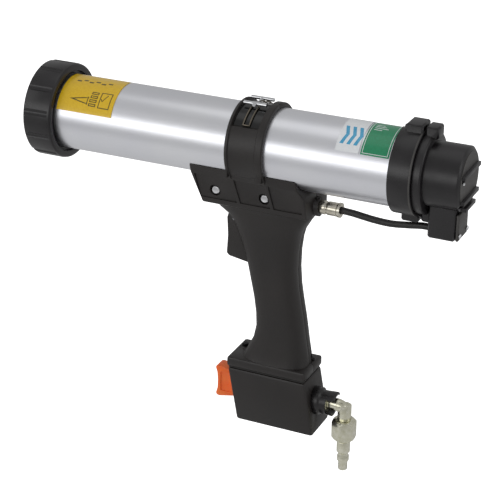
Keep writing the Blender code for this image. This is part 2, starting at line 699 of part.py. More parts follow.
def saddle():
    """Leaning block under the barrel, with three sunk panels on each side."""
    front, rear = COLLAR_X - SADDLE_FRONT, COLLAR_X + SADDLE_REAR
    outline = [
        (front, LEDGE_Z),
        (rear, LEDGE_Z),
        (rear - 0.0010, LEDGE_Z + 0.0170),
        (rear - 0.0062, LEDGE_Z + 0.0235),
        (rear - 0.0075, SADDLE_TOP_Z),
        (front - SADDLE_LEAN, SADDLE_TOP_Z),
        (front - SADDLE_LEAN + 0.0006, SADDLE_TOP_Z - 0.0070),
    ]
    block = plate("saddle_block", outline, 2 * SADDLE_HALF_WIDTH)
    grow = SADDLE_TOP_HALF_WIDTH / SADDLE_HALF_WIDTH - 1
    for vertex in block.data.vertices:
        place = block.matrix_world @ vertex.co
        vertex.co.z *= 1 + grow * (place.z - LEDGE_Z) / (SADDLE_TOP_Z - LEDGE_Z)
    rounded(block, 0.0008, 1)

    rib_1, rib_2 = COLLAR_FRONT + 0.0045, COLLAR_REAR + 0.0020
    rib = 0.0013
    low, high = LEDGE_Z + LEDGE_HEIGHT, SADDLE_TOP_Z - 0.0078
    panels = {
        "front": ((front - 0.0010, low), (rib_1 - rib + 0.0022, low), (rib_1 - rib - 0.0022, high),
                  (front - 0.0048, high)),
        "middle": ((rib_1 + rib + 0.0022, low), (rib_2 - rib + 0.0020, low),
                   (rib_2 - rib - 0.0018, high), (rib_1 + rib - 0.0022, high)),
        "rear": ((rib_2 + rib + 0.0020, low), (rear - 0.0030, low), (rear - 0.0070, high),
                 (rib_2 + rib - 0.0018, high)),
    }
    for name, outline in panels.items():
        for label, side in (("left", -1), ("right", 1)):
            tool = plate("panel_%s_%s" % (name, label), outline, 0.020)
            for vertex in tool.data.vertices:
                height = (tool.matrix_world @ vertex.co).z
                inner = saddle_side(height) - PANEL_DEPTH
                vertex.co.z = -side * (inner if side * vertex.co.z > 0 else inner + 0.010)
            cut(block, tool)
    return block


def collar():
    """Ring round the barrel with a raised rim along each edge and a sunk window for the clamp."""
    width = COLLAR_WIDTH
    blind = COLLAR_INNER - 0.0010
    profile = [
        (blind, width), (RIM_RADIUS - 0.0006, width), (RIM_RADIUS, width - 0.0006),
        (RIM_RADIUS, width - REAR_RIM_WIDTH), (BAND_RADIUS, width - REAR_RIM_WIDTH - 0.0008),
        (BAND_RADIUS, FRONT_RIM_WIDTH + 0.0006), (RIM_RADIUS, FRONT_RIM_WIDTH),
        (RIM_RADIUS, 0.0006), (RIM_RADIUS - 0.0006, 0), (blind, 0),
    ]
    ring = turned("collar_ring", (COLLAR_FRONT, 0, AXIS_Z), "+X", profile, None, ROUND, closed=True)
    front = COLLAR_FRONT + FRONT_RIM_WIDTH + 0.0003
    rear = COLLAR_REAR - REAR_RIM_WIDTH - 0.0003
    window = sleeve("clamp_window", (front, 0, AXIS_Z), "+X", RIM_RADIUS + 0.004, WINDOW_FLOOR,
                    rear - front, None, ROUND)
    keep = AXIS_Z + RIM_RADIUS * sin(radians(CLAMP_WINDOW_ANGLE))
    boolean(window, box("window_part", (front - 0.01, -0.06, keep), (rear + 0.01, 0.06, AXIS_Z + 0.06)),
            "INTERSECT")
    return cut(ring, window)


def webs():
    """Fillets that spread the collar's rims into the saddle's ribs."""
    made = []
    for label, x in (("front", COLLAR_FRONT + 0.0003), ("rear", COLLAR_REAR - REAR_RIM_WIDTH + 0.0003)):
        width = FRONT_RIM_WIDTH - 0.0008 if label == "front" else REAR_RIM_WIDTH - 0.0010
        made.append(box("web_" + label, (x, -RIM_RADIUS + 0.0026, SADDLE_TOP_Z - 0.0040),
                        (x + width, RIM_RADIUS - 0.0026, SADDLE_TOP_Z + 0.0040)))
    return made


def fitting_boss():
    """Round boss behind the saddle that the hose fitting screws into."""
    start = COLLAR_X + SADDLE_REAR - 0.0120
    return rod("fitting_boss", (start, 0, HOSE_Z), "+X", 0.0074, BOSS_REAR - start, sides=20)


def inner_sections():
    """The grip's sections moved in by the wall, from under the saddle to below the foot."""
    made = []
    for height, front, rear, half_width in GRIP_SECTIONS[2:]:
        made.append((height, front + SHELL_WALL, rear - SHELL_WALL, half_width - SHELL_WALL))
    _, front, rear, half_width = made[-1]
    made[-1] = (SEAM_Z - 0.002, front, rear, half_width)
    return made


def delivery_route():
    """Centre line from the valve's outlet up to the hose fitting."""
    start_x = VALVE_FRONT + VALVE_LENGTH - 0.0050
    points = [
        (start_x, 0, VALVE_Z + VALVE_HEIGHT / 2 + GAP),
        (start_x, 0, 0.0560),
        (start_x + 0.0012, 0, HOSE_Z - 0.0062),
        (start_x + 0.0062, 0, HOSE_Z - 0.0010),
        (start_x + 0.0120, 0, HOSE_Z),
        (BOSS_REAR - 0.0075, 0, HOSE_Z),
    ]
    return smooth_path(points, 0.0030)


def handle_blank():
    """Both shells as one solid, before the split down the middle."""
    blank = saddle()
    blank.name = "handle_blank"
    foot = rounded(box("foot_flange", (FOOT_FRONT, -FOOT_HALF_WIDTH, SEAM_Z),
                       (FOOT_REAR, FOOT_HALF_WIDTH, FOOT_Z)), 0.0018, 2)
    join(blank, collar(), *webs(), fitting_boss(), loft("grip_skin", GRIP_SECTIONS), foot)
    slot_top = TRIGGER_PIVOT[1] + 0.0050
    slot_low = slot_top - TRIGGER_LENGTH - 0.0060
    slot = TRIGGER_HALF_WIDTH + RUNNING
    cut(blank,
        loft("grip_hollow", inner_sections()),
        rod("barrel_bore", (COLLAR_X - 0.10, 0, AXIS_Z), "+X", COLLAR_INNER, 0.20, sides=ROUND),
        box("trigger_slot", (TRIGGER_FRONT - 0.02, -slot, slot_low), (-0.0170, slot, slot_top)),
        tube("delivery_passage", delivery_route(), TUBE_RADIUS + 2 * GAP),
        rod("fitting_bore", (BOSS_REAR - 0.0070, 0, HOSE_Z), "+X", FITTING_RADIUS - 0.0010 + GAP, 0.02),
        rod("pin_hole", (TRIGGER_PIVOT[0], -PIN_REACH - GAP, TRIGGER_PIVOT[1]), "+Y", PIN_RADIUS + GAP,
            2 * (PIN_REACH + GAP), sides=16))
    for label, x in SHELL_SCREWS.items():
        side = saddle_side(SHELL_SCREW_Z)
        cut(blank,
            rod("shank_hole_" + label, (x, -side - 0.005, SHELL_SCREW_Z), "+Y",
                SHELL_SCREW_RADIUS + GAP, side + 0.0160, sides=16),
            rod("head_hole_" + label, (x, -side - 0.005, SHELL_SCREW_Z), "+Y",
                SHELL_SCREW_HEAD + 0.0006, 0.0092, sides=20))
    for label, x in base_screw_places():
        cut(blank,
            rod("foot_hole_" + label, (x, BASE_SCREW_Y, SEAM_Z - 0.005), "+Z", BASE_SCREW_RADIUS + GAP,
                0.03, sides=12),
            rod("foot_pocket_" + label, (x, BASE_SCREW_Y, FOOT_Z), "+Z", BASE_SCREW_HEAD + 2 * GAP,
                BASE_SCREW_POCKET, sides=16))
    return blank


def base_screw_places():
    return (("front", FOOT_FRONT + 0.0052), ("rear", FOOT_REAR - 0.0046))


def handle():
    blank = handle_blank()
    reach = 0.5
    for label, low, high in (("left", -reach, -GAP / 2), ("right", GAP / 2, reach)):
        shell = box("handle_" + label, (-reach, low, -reach), (reach, high, reach), "grip_nylon")
        boolean(shell, blank, "INTERSECT")
    for label, x in SHELL_SCREWS.items():
        head_y = -saddle_side(SHELL_SCREW_Z) + 0.0042 - GAP
        length = 0.0145 - head_y
        screw = [(0, 0.0024), (0.0026, 0.0024), (SHELL_SCREW_HEAD, 0.0010), (SHELL_SCREW_HEAD, 0),
                 (SHELL_SCREW_RADIUS, 0), (SHELL_SCREW_RADIUS, -length + 0.0045), (0, -length + 0.0045)]
        turned("shell_screw_" + label, (x, head_y, SHELL_SCREW_Z), "-Y", screw, "chrome", 20)
    clamp()
    trigger()
    valve()


def clamp():
    """Two wire loops that hook over the shells and are drawn together by a screw at the top."""
    ring = WINDOW_FLOOR + GAP + WIRE_RADIUS
    bar_z = AXIS_Z + (ring ** 2 - TRUNNION_OFFSET ** 2) ** 0.5 + WIRE_RADIUS + TRUNNION_RADIUS + GAP
    low = radians(CLAMP_WINDOW_ANGLE + 6)
    high = pi / 2 - asin((TRUNNION_OFFSET - 0.0010) / ring)
    for label, side in (("left", -1), ("right", 1)):
        def arc(x, first, last):
            count = 8
            angles = [first + (last - first) * step / count for step in range(count + 1)]
            return [(x, side * ring * cos(a), AXIS_Z + ring * sin(a)) for a in angles]
        rear_x, front_x = CLAMP_X + WIRE_SPACING / 2, CLAMP_X - WIRE_SPACING / 2
        tube("clamp_wire_" + label, arc(front_x, high, low) + arc(rear_x, low, high), WIRE_RADIUS,
             "chrome")
        bar = rod("clamp_bar_" + label, (CLAMP_X - TRUNNION_LENGTH / 2, side * TRUNNION_OFFSET, bar_z),
                  "+X", TRUNNION_RADIUS, TRUNNION_LENGTH, "chrome", sides=12)
        cut(bar, rod("bar_hole_" + label, (CLAMP_X, side * TRUNNION_OFFSET - 0.005, bar_z), "+Y", 0.0009,
                     0.010, sides=12))
    head = -TRUNNION_OFFSET - TRUNNION_RADIUS - GAP
    span = 2 * TRUNNION_OFFSET + 2 * TRUNNION_RADIUS
    screw = [(0, 0.0012), (0.0014, 0.0012), (0.0014, 0), (0.0006, 0), (0.0006, -span), (0, -span)]
    turned("clamp_screw", (CLAMP_X, head, bar_z), "-Y", screw, "chrome", 12)


def trigger():
    """Hollow finger lever that hangs from its pin and pushes the valve's stem."""
    pivot_x, pivot_z = TRIGGER_PIVOT
    top, low = pivot_z + 0.0028, pivot_z + 0.0028 - TRIGGER_LENGTH
    outline = [
        (TRIGGER_FRONT + 0.0012, top),
        (TRIGGER_FRONT, top - 0.0040),
        (TRIGGER_FRONT + 0.0006, (top + low) / 2),
        (TRIGGER_FRONT - 0.0004, low + 0.0030),
        (TRIGGER_FRONT + 0.0020, low + 0.0008),
        (-0.0185, low - 0.0022),
        (-0.0265, top - 0.0060),
        (-0.0272, top),
    ]
    lever = plate("trigger", outline, 2 * TRIGGER_HALF_WIDTH, "black_nylon", (pivot_x, pivot_z))
    rounded(lever, 0.0010, 2, 20)
    inner = TRIGGER_HALF_WIDTH - TRIGGER_WALL
    pocket = box("trigger_pocket", (TRIGGER_FRONT + 0.0032, -inner, low + 0.0028),
                 (0.010, inner, top - 0.0014))
    hole = rod("trigger_hole", (pivot_x, -0.02, pivot_z), "+Y", PIN_RADIUS + 0.0002, 0.04, sides=16)
    cut(lever, pocket, hole)
    rod("trigger_pin", (pivot_x, -PIN_REACH, pivot_z), "+Y", PIN_RADIUS, 2 * PIN_REACH, "spring_steel",
        sides=16)


def valve():
    """Spool valve behind the trigger, its spring, and the tubes into and out of it."""
    rear = VALVE_FRONT + VALVE_LENGTH
    half_height, half_width = VALVE_HEIGHT / 2, VALVE_WIDTH / 2
    bore = SPOOL_RADIUS + 0.0001
    body = rounded(box("valve_body", (VALVE_FRONT, -half_width, VALVE_Z - half_height),
                       (rear, half_width, VALVE_Z + half_height), "brass"), 0.0006, 1)
    outlet_x, inlet_x = rear - 0.0050, VALVE_FRONT + 0.0120
    cut(body,
        rod("spool_bore", (VALVE_FRONT - 0.001, 0, VALVE_Z), "+X", bore, VALVE_LENGTH - 0.002, sides=24),
        rod("outlet_port", (outlet_x, 0, VALVE_Z), "+Z", 0.0012, 0.012, sides=12),
        rod("inlet_port", (inlet_x, 0, VALVE_Z), "-Z", 0.0012, 0.012, sides=12))

    tip = TRIGGER_FRONT + 0.0032 + GAP
    start = VALVE_FRONT + 0.0010
    length = 0.0160
    waist = SPOOL_RADIUS - 0.0014
    grooves = (0.0020, 0.0110)
    width = 0.0016
    profile = [(0, start + length - tip), (SPOOL_RADIUS, start + length - tip)]
    for groove in reversed(grooves):
        profile += [(SPOOL_RADIUS, start + groove + width - tip), (waist, start + groove + width - tip),
                    (waist, start + groove - tip), (SPOOL_RADIUS, start + groove - tip)]
    profile += [(SPOOL_RADIUS, start - tip), (STEM_RADIUS, start - tip), (STEM_RADIUS, 0.0004),
                (STEM_RADIUS - 0.0004, 0), (0, 0)]
    turned("valve_spool", (tip, 0, VALVE_Z), "+X", profile, "spring_steel", 24)
    thickness = width / 2 - 0.00015
    for label, groove in zip(("front", "rear"), grooves):
        o_ring("spool_seal_" + label, (start + groove + width / 2, 0, VALVE_Z), "+X",
               SPOOL_RADIUS - thickness + 0.00005, thickness, steps=24)

    per_turn = 10
    first, last = start + length + GAP + SPRING_WIRE, rear - 0.0030 - SPRING_WIRE - GAP
    radius = SPOOL_RADIUS - SPRING_WIRE - 0.0002
    count = SPRING_COILS * per_turn
    helix = [(first + (last - first) * step / count, radius * cos(2 * pi * step / per_turn),
              VALVE_Z + radius * sin(2 * pi * step / per_turn)) for step in range(count + 1)]
    tube("valve_spring", helix, SPRING_WIRE, "spring_steel", resolution=1)

    tube("delivery_tube", delivery_route(), TUBE_RADIUS, "black_rubber")
    supply = [
        (inlet_x, 0, VALVE_Z - half_height - GAP),
        (inlet_x - 0.0005, 0, 0.0100),
        (inlet_x + 0.0045, 0, -0.0300),
        (inlet_x + 0.0065, 0, -0.0600),
        (inlet_x + 0.0065, 0, INLET_Z + MANIFOLD_SIZE / 2 + GAP),
    ]
    tube("supply_tube", smooth_path(supply, 0.0080), TUBE_RADIUS + 0.0004, "black_rubber")


# ---- Hose ---------------------------------------------------------------------------------------
def hose():
    """Push-in fitting in the handle, its release collar, and the hose to the rear cap's foot."""
    stem = FITTING_RADIUS - 0.0010
    start = BOSS_REAR - 0.0060
    face = BOSS_REAR + GAP - start
    end = face + FITTING_LENGTH
    bore = HOSE_RADIUS + GAP
    profile = [
        (bore, end), (FITTING_RADIUS - 0.0004, end), (FITTING_RADIUS, end - 0.0004),
        (FITTING_RADIUS, face + 0.0060), (FITTING_RADIUS - 0.0006, face + 0.0055),
        (FITTING_RADIUS - 0.0006, face + 0.0045), (FITTING_RADIUS, face + 0.0040),
        (FITTING_RADIUS, face), (stem, face), (stem, 0),
        (0.0016, 0), (0.0016, face + 0.0035), (bore, face + 0.0035),
    ]
    turned("hose_fitting", (start, 0, HOSE_Z), "+X", profile, "nickel", 24, closed=True)
    collar_x = start + end + GAP
    sleeve("hose_collar", (collar_x, 0, HOSE_Z), "+X", FITTING_RADIUS + 0.0004, bore, 0.0022, "nickel",
           steps=24)

    first = start + face + 0.0035 + GAP
    leave = collar_x + 0.0040
    last = END_FOOT_FRONT + 0.0080 - GAP - 0.0012
    enter = END_FOOT_FRONT - 0.0060
    drop = HOSE_END_DROP - HOSE_Z_DROP
    span = enter - leave
    route = [(first, 0, HOSE_Z), (leave, 0, HOSE_Z)]
    for share, sag in ((0.12, 0.15), (0.35, 0.75), (0.60, 1.0), (0.85, 0.45)):
        route.append((leave + share * span, HOSE_END_Y * share, HOSE_Z - share * drop - sag * HOSE_SAG))
    route += [(enter, HOSE_END_Y, HOSE_END_Z), (last, HOSE_END_Y, HOSE_END_Z)]
    tube("air_hose", smooth_path(route, 0.0060), HOSE_RADIUS, "black_rubber")


# ---- Base ---------------------------------------------------------------------------------------
def base():
    gasket_top = SEAM_Z - GAP
    inset = HOUSING_INSET + 0.0008
    gasket = box("base_gasket", (FOOT_FRONT + inset, -FOOT_HALF_WIDTH + inset, gasket_top - GASKET),
                 (FOOT_REAR - inset, FOOT_HALF_WIDTH - inset, gasket_top), "black_rubber")
    wall = HOUSING_WALL + 0.0008
    cut(gasket, box("gasket_window", (FOOT_FRONT + 0.0105, -FOOT_HALF_WIDTH + wall, gasket_top - 0.01),
                    (FOOT_REAR - 0.0075, FOOT_HALF_WIDTH - wall, gasket_top + 0.01)))
    housing_shell(gasket)
    regulator()
    inlet()


def housing_shell(gasket):
    """Leaning box under the foot flange, open at the top, with screw posts inside."""
    front, rear = FOOT_FRONT + HOUSING_INSET, FOOT_REAR - HOUSING_INSET
    half = FOOT_HALF_WIDTH - HOUSING_INSET
    low = (front + HOUSING_LEAN, -half, HOUSING_BOTTOM)
    high = (rear + HOUSING_LEAN, half, HOUSING_TOP)
    shell = wedge_box("base_housing", low, high, 0.0, -HOUSING_LEAN, "black_nylon")
    rounded(shell, 0.0020, 2)
    wall = HOUSING_WALL
    lean = HOUSING_LEAN * (HOUSING_HEIGHT - wall + 0.004) / HOUSING_HEIGHT
    hollow = wedge_box("housing_hollow", (low[0] + wall + 0.0090, low[1] + wall, low[2] + wall),
                       (high[0] - wall - 0.0060, high[1] - wall, high[2] + 0.004), 0.0, -lean)
    knob_bore = rod("gland_bore", (HOUSING_FRONT - 0.01, 0, INLET_Z), "+X", 0.0050 + GAP, 0.03)
    inlet_bore = rod("inlet_bore", (HOUSING_REAR - 0.02, 0, INLET_Z), "+X", SWIVEL_STEM_RADIUS + RUNNING,
                     0.04)
    cut(shell, hollow, knob_bore, inlet_bore)
    for label, x in base_screw_places():
        depth = 0.0110
        hole = rod("base_hole_" + label, (x, BASE_SCREW_Y, HOUSING_TOP - depth), "+Z",
                   BASE_SCREW_RADIUS + GAP, 0.03, sides=12)
        cut(shell, hole)
        cut(gasket, hole)
        start = HOUSING_TOP - depth + GAP
        seat = FOOT_Z + GAP - start
        screw = [(0, seat + 0.0016), (0.0019, seat + 0.0016), (BASE_SCREW_HEAD, seat + 0.0009),
                 (BASE_SCREW_HEAD, seat), (BASE_SCREW_RADIUS, seat), (BASE_SCREW_RADIUS, 0), (0, 0)]
        turned("base_screw_" + label, (x, BASE_SCREW_Y, start), "+Z", screw, "black_steel", 16)


def regulator():
    """Manifold block, needle, gland and the orange knob that feeds the needle in and out."""
    half = MANIFOLD_SIZE / 2
    front = HOUSING_FRONT + MANIFOLD_INSET
    rear = front + MANIFOLD_LENGTH
    block = rounded(box("manifold", (front, -half, INLET_Z - half), (rear, half, INLET_Z + half), "brass"),
                    0.0008, 1)
    supply_x = VALVE_FRONT + 0.0120 + 0.0065
    cut(block,
        rod("needle_bore", (front - 0.001, 0, INLET_Z), "+X", NEEDLE_RADIUS + 0.0004, 0.0160, sides=20),
        rod("seat_bore", (front + 0.013, 0, INLET_Z), "+X", 0.0012, 0.012, sides=12),
        rod("stem_bore", (rear - 0.0110, 0, INLET_Z), "+X", SWIVEL_STEM_RADIUS + RUNNING, 0.02),
        rod("supply_bore", (supply_x, 0, INLET_Z), "+Z", 0.0016, 0.02, sides=12))
    collar = GLAND_COLLAR
    gland_start = HOUSING_FRONT - HOUSING_LEAN * 0.0062 / HOUSING_HEIGHT - GAP - collar
    gland_end = front - GAP - gland_start
    seat = collar + 0.0016
    bore = NEEDLE_RADIUS + 0.0002
    gland = [(bore, gland_end), (0.0050, gland_end), (0.0050, seat), (0.0050, collar), (0.0062, collar),
             (0.0062, 0), (bore, 0)]
    turned("needle_gland", (gland_start, 0, INLET_Z), "+X", gland, "nickel", 24, closed=True)
    knob(gland_start - RUNNING, front)


def knob(rear, manifold_front):
    """Winged thumb knob with a dished front edge, on the needle's square end."""
    front = rear - KNOB_LENGTH
    half = KNOB_HEIGHT / 2
    dish = 0.0016
    outline = [
        (rear, -half * 0.80), (rear, half * 0.80), (front + 0.0040, half), (front + 0.0010, half * 0.97),
        (front, half * 0.86), (front + dish * 0.9, half * 0.5), (front + dish * 1.15, 0),
        (front + dish * 0.9, -half * 0.5), (front, -half * 0.86), (front + 0.0010, -half * 0.97),
        (front + 0.0040, -half),
    ]
    wing = plate("regulator_knob", [(x, INLET_Z + z) for x, z in outline], KNOB_THICKNESS,
                 "orange_plastic", (rear, INLET_Z))
    rounded(wing, 0.0012, 2, 25)
    for label, side in (("left", -1), ("right", 1)):
        low_y, high_y = sorted((side * (KNOB_THICKNESS / 2 - 0.0012), side * 0.02))
        cut(wing, box("knob_dish_" + label, (front + 0.0045, low_y, INLET_Z - half * 0.62),
                      (rear - 0.0030, high_y, INLET_Z + half * 0.62)))
    tail = 0.0090
    cut(wing, rod("knob_bore", (rear - tail, 0, INLET_Z), "+X", NEEDLE_RADIUS + GAP, 0.02, sides=20),
        rod("knob_screw_bore", (front - 0.01, 0, INLET_Z), "+X", 0.0024, 0.0150, sides=16))
    start = rear - tail + GAP
    end = manifold_front + 0.0115 - start
    needle = [(0, end + 0.0012), (0.0009, end), (0.0009, end - 0.001), (NEEDLE_RADIUS, end - 0.0022),
              (NEEDLE_RADIUS, 0), (0, 0)]
    turned("regulator_needle", (start, 0, INLET_Z), "+X", needle, "zinc_steel", 20)
    screw_x = front + 0.0050 - GAP
    screw = [(0, 0), (0.0020, 0), (0.0020, -0.0018), (0, -0.0018)]
    turned("knob_screw", (screw_x, 0, INLET_Z), "+X", screw, "zinc_steel", 16)


def inlet():
    """Black socket on the housing's rear, and the swivelling elbow, nut and air plug in it."""
    sunk = 0.0030
    start = HOUSING_REAR - sunk
    wall = 0.0022
    bore = SWIVEL_STEM_RADIUS + RUNNING
    end = sunk + SOCKET_LENGTH
    floor = sunk + 0.0075
    profile = [
        (SOCKET_RADIUS - 0.0010, end), (SOCKET_RADIUS, end - 0.0010),
        (SOCKET_RADIUS - 0.0006, sunk + 0.0070), (SOCKET_RADIUS - 0.0006, sunk + 0.0055),
        (SOCKET_RADIUS + 0.0010, sunk + 0.0042), (SOCKET_RADIUS + 0.0010, 0),
        (bore, 0), (bore, floor), (SOCKET_RADIUS - wall, floor), (SOCKET_RADIUS - wall, end),
    ]
    socket = turned("inlet_socket", (start, 0, INLET_Z), "+X", profile, "black_nylon", 32, closed=True)
    half = FOOT_HALF_WIDTH
    rear = FOOT_REAR - HOUSING_INSET + GAP
    jaw_front = HOUSING_REAR + 0.0105
    lower_end = HOUSING_REAR + SOCKET_LENGTH - SOCKET_JAW_STEP
    cut(socket,
        wedge_box("housing_clearance", (FOOT_FRONT, -half, HOUSING_BOTTOM),
                  (rear + HOUSING_LEAN, half, HOUSING_TOP), 0.0, -HOUSING_LEAN),
        box("socket_slot", (jaw_front, -0.02, INLET_Z - 0.0060), (jaw_front + 0.02, 0.02, INLET_Z + 0.0060)),
        box("jaw_trim", (lower_end, -0.02, INLET_Z - 0.02), (lower_end + 0.02, 0.02, INLET_Z)))
    flange_start = HOUSING_REAR + 0.0075 + GAP
    flange_radius = SOCKET_RADIUS - wall - RUNNING
    stem_start = HOUSING_FRONT + MANIFOLD_INSET + MANIFOLD_LENGTH - 0.0105
    stem_end = flange_start + 0.0025 - stem_start
    seat = flange_start - stem_start
    stem = [
        (0.0020, stem_end), (flange_radius, stem_end), (flange_radius, seat),
        (SWIVEL_STEM_RADIUS, seat), (SWIVEL_STEM_RADIUS, 0.0052), (SWIVEL_STEM_RADIUS - 0.0016, 0.0052),
        (SWIVEL_STEM_RADIUS - 0.0016, 0.0032), (SWIVEL_STEM_RADIUS, 0.0032), (SWIVEL_STEM_RADIUS, 0),
        (0.0020, 0),
    ]
    turned("swivel_stem", (stem_start, 0, INLET_Z), "+X", stem, "zinc_steel", 24, closed=True)
    o_ring("stem_seal", (stem_start + 0.0042, 0, INLET_Z), "+X", SWIVEL_STEM_RADIUS - 0.0006, 0.00085,
           steps=24)
    elbow(flange_start + 0.0025 + GAP)
    plug()


def elbow(start):
    """Cast elbow from the swivel's stem, turning down to the nut."""
    bend = 0.0060
    low = INLET_Z - 0.0110
    turn = [(PLUG_X - bend + bend * sin(a), 0, INLET_Z - bend + bend * cos(a))
            for a in (radians(step) for step in range(0, 91, 15))]
    route = [(start, 0, INLET_Z)] + turn + [(PLUG_X, 0, low)]
    body = tube("inlet_elbow", route, ELBOW_RADIUS, "zinc_steel", resolution=4)
    knuckle = rod("elbow_knuckle", (PLUG_X, 0, low + 0.0002), "+Z", ELBOW_RADIUS + 0.0004, 0.0120)
    join(body, knuckle)
    bore = [(start - 0.001, 0, INLET_Z)] + turn + [(PLUG_X, 0, low - 0.001)]
    cut(body, tube("elbow_passage", bore, 0.0020))
    return body


def plug():
    nut_top = INLET_Z - 0.0110 - GAP
    corner = NUT_ACROSS_FLATS / 2 / cos(pi / 6)
    nut = rod("coupling_nut", (PLUG_X, 0, nut_top), "-Z", corner, NUT_HEIGHT, "zinc_steel", sides=6)
    trim = turned("nut_trim", (PLUG_X, 0, nut_top), "-Z", [
        (0, NUT_HEIGHT + 0.001), (0.0062, NUT_HEIGHT), (corner + 0.0001, NUT_HEIGHT - 0.0034),
        (corner + 0.0001, 0.0016), (corner - 0.0020, 0), (0, -0.001)], None, 24)
    boolean(nut, trim, "INTERSECT")
    inner = 0.0036
    cut(nut, rod("nut_passage", (PLUG_X, 0, nut_top + 0.002), "-Z", 0.0020, 0.01, sides=16),
        rod("plug_socket", (PLUG_X, 0, nut_top - NUT_HEIGHT - 0.002), "+Z", inner + GAP, 0.0110, sides=24))

    top = nut_top - NUT_HEIGHT
    stem_top = 0.0070
    neck, barb = 0.0040, 0.0047
    length = PLUG_LENGTH
    profile = [
        (0.0024, length), (0.0033, length), (0.0037, length - 0.0006), (0.0037, length - 0.0068),
        (barb, length - 0.0085), (barb, length - 0.0120), (neck, length - 0.0132),
        (neck, length - 0.0150), (PLUG_RADIUS, length - 0.0162), (PLUG_RADIUS, 0.0008),
        (PLUG_RADIUS - 0.0006, GAP), (inner, GAP), (inner, -stem_top), (0.0022, -stem_top),
    ]
    turned("air_plug", (PLUG_X, 0, top), "-Z", profile, "zinc_steel", 24, closed=True)


barrel()
rear_end()
handle()
hose()
base()
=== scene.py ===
"""The caulking gun as it looks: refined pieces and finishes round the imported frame.

Metres, +Z up. The muzzle is at -X, the air end at +X, and the gun's left side faces -Y.
"""

import json
from math import cos, pi, radians, sin

import bmesh
import bpy
from mathutils import Matrix, Vector

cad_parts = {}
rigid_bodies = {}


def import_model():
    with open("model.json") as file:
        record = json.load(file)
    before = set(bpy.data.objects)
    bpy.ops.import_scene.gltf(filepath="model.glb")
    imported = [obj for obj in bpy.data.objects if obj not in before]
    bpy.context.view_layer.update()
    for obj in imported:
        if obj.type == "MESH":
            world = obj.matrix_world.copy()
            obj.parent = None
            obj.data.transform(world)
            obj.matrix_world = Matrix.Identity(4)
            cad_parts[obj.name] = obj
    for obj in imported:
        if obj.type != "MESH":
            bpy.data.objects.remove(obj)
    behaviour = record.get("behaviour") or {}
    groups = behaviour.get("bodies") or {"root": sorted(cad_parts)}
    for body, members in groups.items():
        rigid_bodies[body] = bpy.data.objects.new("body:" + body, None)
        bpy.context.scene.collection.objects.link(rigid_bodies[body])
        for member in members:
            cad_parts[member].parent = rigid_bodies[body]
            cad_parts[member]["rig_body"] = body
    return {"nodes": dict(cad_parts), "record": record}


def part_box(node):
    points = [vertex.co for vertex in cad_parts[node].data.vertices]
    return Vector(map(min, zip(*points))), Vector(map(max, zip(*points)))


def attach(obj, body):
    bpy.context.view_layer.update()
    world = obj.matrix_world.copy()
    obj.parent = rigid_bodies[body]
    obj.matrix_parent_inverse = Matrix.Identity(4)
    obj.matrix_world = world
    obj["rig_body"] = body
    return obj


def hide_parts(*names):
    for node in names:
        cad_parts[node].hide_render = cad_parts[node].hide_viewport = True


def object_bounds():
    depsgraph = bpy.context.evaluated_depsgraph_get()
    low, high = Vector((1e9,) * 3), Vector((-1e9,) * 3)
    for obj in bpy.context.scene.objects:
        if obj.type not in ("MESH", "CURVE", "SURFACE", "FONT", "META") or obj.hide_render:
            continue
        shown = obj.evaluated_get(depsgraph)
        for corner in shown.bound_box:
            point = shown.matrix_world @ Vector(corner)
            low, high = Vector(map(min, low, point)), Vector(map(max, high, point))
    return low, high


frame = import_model()
cad_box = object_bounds()

# ---- Sizes --------------------------------------------------------------------------------------
MM = 0.001
barrel_low, barrel_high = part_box("barrel_tube")
AXIS_Z = (barrel_low.z + barrel_high.z) / 2
BARREL_RADIUS = (barrel_high.z - barrel_low.z) / 2
BARREL_WALL = 2.0 * MM
cap_low, cap_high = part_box("front_cap")
ring_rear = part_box("rear_ring")[1].x
end_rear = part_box("rear_cap")[1].x
FINE = 96                        # sides of the large round pieces
SMALL = 48                       # sides of the small ones
LABEL_FILM = 0.25 * MM
FLOOR_DROP = 0.45                # floor below the gun's lowest point, so no shadow shows
SURROUND = 0.44                  # strength of the even light from all round
LOBES = 12                       # grooves round the front cap
GROOVE_RADIUS = 3.2 * MM
GROOVE_LIFT = 2.0 * MM           # groove cutters' axes over the cap's outside
RING_RADIUS = BARREL_RADIUS + 3.5 * MM
LIP_WIDTH = 1.3 * MM             # lighter lip of the rear ring, a painted highlight along its rear edge
PANEL_RADIUS = 20.5 * MM         # lighter disc on the rear end face, a painted highlight of the lit face
bar_low, bar_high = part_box("clamp_bar_left")
RECESS_RADIUS = BARREL_RADIUS + 1.25 * MM
RECESS_MIDDLE = (bar_low.x + bar_high.x) / 2
RECESS_HALF = 10.5 * MM
RECESS_FRONT = RECESS_MIDDLE - RECESS_HALF
RECESS_REAR = RECESS_MIDDLE + RECESS_HALF

AXES = {
    "+X": Matrix.Rotation(pi / 2, 4, "Y"),
    "-X": Matrix.Rotation(-pi / 2, 4, "Y"),
    "+Y": Matrix.Rotation(-pi / 2, 4, "X"),
    "-Y": Matrix.Rotation(pi / 2, 4, "X"),
    "+Z": Matrix.Identity(4),
    "-Z": Matrix.Rotation(pi, 4, "X"),
}


# ---- Modelling helpers --------------------------------------------------------------------------
def clear_selection():
    bpy.ops.object.select_all(action="DESELECT")


def hold(piece):
    """Only this piece is selected and active."""
    clear_selection()
    piece.select_set(True)
    bpy.context.view_layer.objects.active = piece


def edit(piece):
    hold(piece)
    bpy.ops.object.mode_set(mode="EDIT")


def leave():
    bpy.ops.object.mode_set(mode="OBJECT")


def settle(piece):
    """The object's place, turn and size go into its mesh."""
    hold(piece)
    bpy.ops.object.transform_apply(location=True, rotation=True, scale=True)
    return piece


